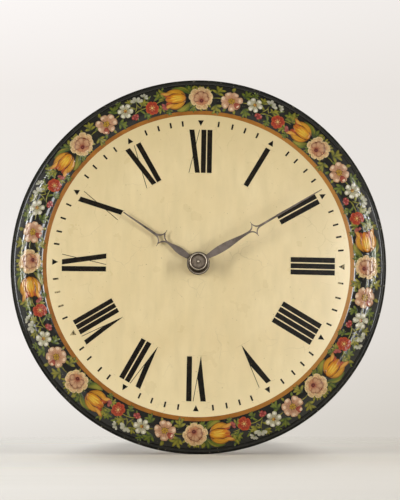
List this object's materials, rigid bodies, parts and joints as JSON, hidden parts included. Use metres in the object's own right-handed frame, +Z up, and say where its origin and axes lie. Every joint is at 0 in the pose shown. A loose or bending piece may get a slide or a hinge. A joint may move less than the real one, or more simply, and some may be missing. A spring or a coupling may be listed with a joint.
{
  "type": "wall clock",
  "caption": "Round painted wooden shield wall clock: flower-bordered cream dial with Roman numerals, open-star steel hands, boxed wooden-framed weight movement and pendulum.",
  "frame": {"origin": "centre of the hanging hole, on the wall plane at the back of the case", "axes": "+X right as seen from the front, +Y into the wall, +Z up; the dial faces -Y"},
  "size_m": [0.3, 0.1471, 0.2999],
  "materials": {
    "lacquered_shield": "oil-painted and varnished wood, cream dial, black border",
    "spruce": "planed softwood, aged",
    "beech": "planed and turned hardwood, aged",
    "brass": "filed and aged",
    "hand_steel": "grey polished steel, slightly worn",
    "wrought_iron": "forged, dark",
    "movement_steel": "turned steel"
  },
  "bodies": {
    "case": {"shield": "lacquered_shield", "upper_batten": "spruce", "lower_batten": "spruce", "shield_pins": "beech", "top_board": "spruce", "bottom_board": "spruce", "front_left_post": "beech", "front_right_post": "beech", "rear_left_post": "beech", "rear_right_post": "beech", "back_board": "spruce", "back_board_nails": "wrought_iron", "left_door_pins": "wrought_iron", "right_door_pins": "wrought_iron", "hanger_plate": "wrought_iron", "hanger_screws": "wrought_iron", "front_strip": "beech", "back_strip": "beech", "front_bushes": "brass", "back_bushes": "brass", "minute_wheel_stud": "movement_steel", "suspension_cock": "wrought_iron", "cock_screw": "wrought_iron"},
    "left_door": {"left_door": "spruce", "left_door_knob": "beech"},
    "right_door": {"right_door": "spruce", "right_door_knob": "beech"},
    "great_wheel": {"great_arbor": "movement_steel", "great_wheel": "brass", "click_screw": "movement_steel", "click_spring": "movement_steel", "drive_spring": "brass"},
    "sprocket": {"sprocket": "beech", "ratchet_wheel": "brass"},
    "click": {"click": "movement_steel"},
    "second_wheel": {"second_arbor": "movement_steel", "second_pinion": "movement_steel", "second_wheel": "brass"},
    "escape_wheel": {"escape_arbor": "movement_steel", "escape_pinion": "movement_steel", "escape_wheel": "brass"},
    "anchor": {"anchor_arbor": "movement_steel", "anchor": "movement_steel", "crutch": "wrought_iron"},
    "pendulum": {"pendulum_rod": "wrought_iron", "pendulum_bob": "brass"},
    "rating_nut": {"rating_nut": "brass"},
    "drive_wheel": {"drive_wheel": "brass"},
    "minute_hand": {"minute_arbor": "movement_steel", "cannon_wheel": "brass", "cannon_pinion": "movement_steel", "minute_hand": "hand_steel", "minute_collet": "hand_steel"},
    "minute_wheel": {"minute_wheel": "brass", "minute_wheel_pinion": "movement_steel"},
    "hour_hand": {"hour_wheel": "brass", "hour_pipe": "brass", "hour_hand": "hand_steel", "hour_boss": "hand_steel"}
  },
  "joints": [
    {"name": "minute_hand_turn", "type": "hinge", "parent": "case", "child": "minute_hand", "pos_m": [0, -0.09, -0.10604], "axis": [0, 1, 0], "continuous": true},
    {"name": "drive_wheel_turn", "type": "hinge", "parent": "case", "child": "drive_wheel", "pos_m": [0, -0.0965, -0.12604], "axis": [0, 1, 0], "continuous": true},
    {"name": "minute_wheel_turn", "type": "hinge", "parent": "case", "child": "minute_wheel", "pos_m": [0.012, -0.1, -0.09704], "axis": [0, 1, 0], "continuous": true},
    {"name": "hour_hand_turn", "type": "hinge", "parent": "case", "child": "hour_hand", "pos_m": [0, -0.1045, -0.10604], "axis": [0, 1, 0], "continuous": true},
    {"name": "second_wheel_turn", "type": "hinge", "parent": "case", "child": "second_wheel", "pos_m": [0, -0.06, -0.09094], "axis": [0, 1, 0], "continuous": true},
    {"name": "great_wheel_turn", "type": "hinge", "parent": "case", "child": "great_wheel", "pos_m": [0, -0.06, -0.12604], "axis": [0, 1, 0], "continuous": true},
    {"name": "escape_wheel_turn", "type": "hinge", "parent": "case", "child": "escape_wheel", "pos_m": [0, -0.06, -0.05974], "axis": [0, 1, 0], "continuous": true},
    {"name": "sprocket_turn", "type": "hinge", "parent": "great_wheel", "child": "sprocket", "pos_m": [0, -0.06825, -0.12604], "axis": [0, 1, 0], "continuous": true},
    {"name": "click_lift", "type": "hinge", "parent": "great_wheel", "child": "click", "pos_m": [0.00058, -0.0745, -0.14246], "axis": [0, -1, 0], "range_deg": [0, 12], "stiffness_Nm_per_rad": 0.002, "springref_deg": -11.46},
    {"name": "pendulum_swing", "type": "hinge", "parent": "case", "child": "pendulum", "pos_m": [0, -0.016, -0.0357], "axis": [0, 1, 0], "range_deg": [-3, 3]},
    {"name": "anchor_swing", "type": "hinge", "parent": "case", "child": "anchor", "pos_m": [0, -0.06, -0.0357], "axis": [0, 1, 0], "range_deg": [-3, 3]},
    {"name": "rating_nut_turn", "type": "hinge", "parent": "pendulum", "child": "rating_nut", "pos_m": [0, -0.016, -0.23225], "axis": [0, 0, 1], "continuous": true},
    {"name": "left_door_swing", "type": "hinge", "parent": "case", "child": "left_door", "pos_m": [-0.063, -0.013, -0.09602], "axis": [0, 0, -1], "range_deg": [0, 90]},
    {"name": "right_door_swing", "type": "hinge", "parent": "case", "child": "right_door", "pos_m": [0.063, -0.013, -0.09602], "axis": [0, 0, 1], "range_deg": [0, 90]}
  ],
  "couplings": [
    {"joint": "drive_wheel_turn", "follows": "minute_hand_turn", "ratio": -1},
    {"joint": "minute_wheel_turn", "follows": "minute_hand_turn", "ratio": -0.25},
    {"joint": "hour_hand_turn", "follows": "minute_hand_turn", "ratio": 0.083333},
    {"joint": "great_wheel_turn", "follows": "second_wheel_turn", "ratio": -0.083333},
    {"joint": "escape_wheel_turn", "follows": "second_wheel_turn", "ratio": -12},
    {"joint": "anchor_swing", "follows": "pendulum_swing", "ratio": 1}
  ]
}
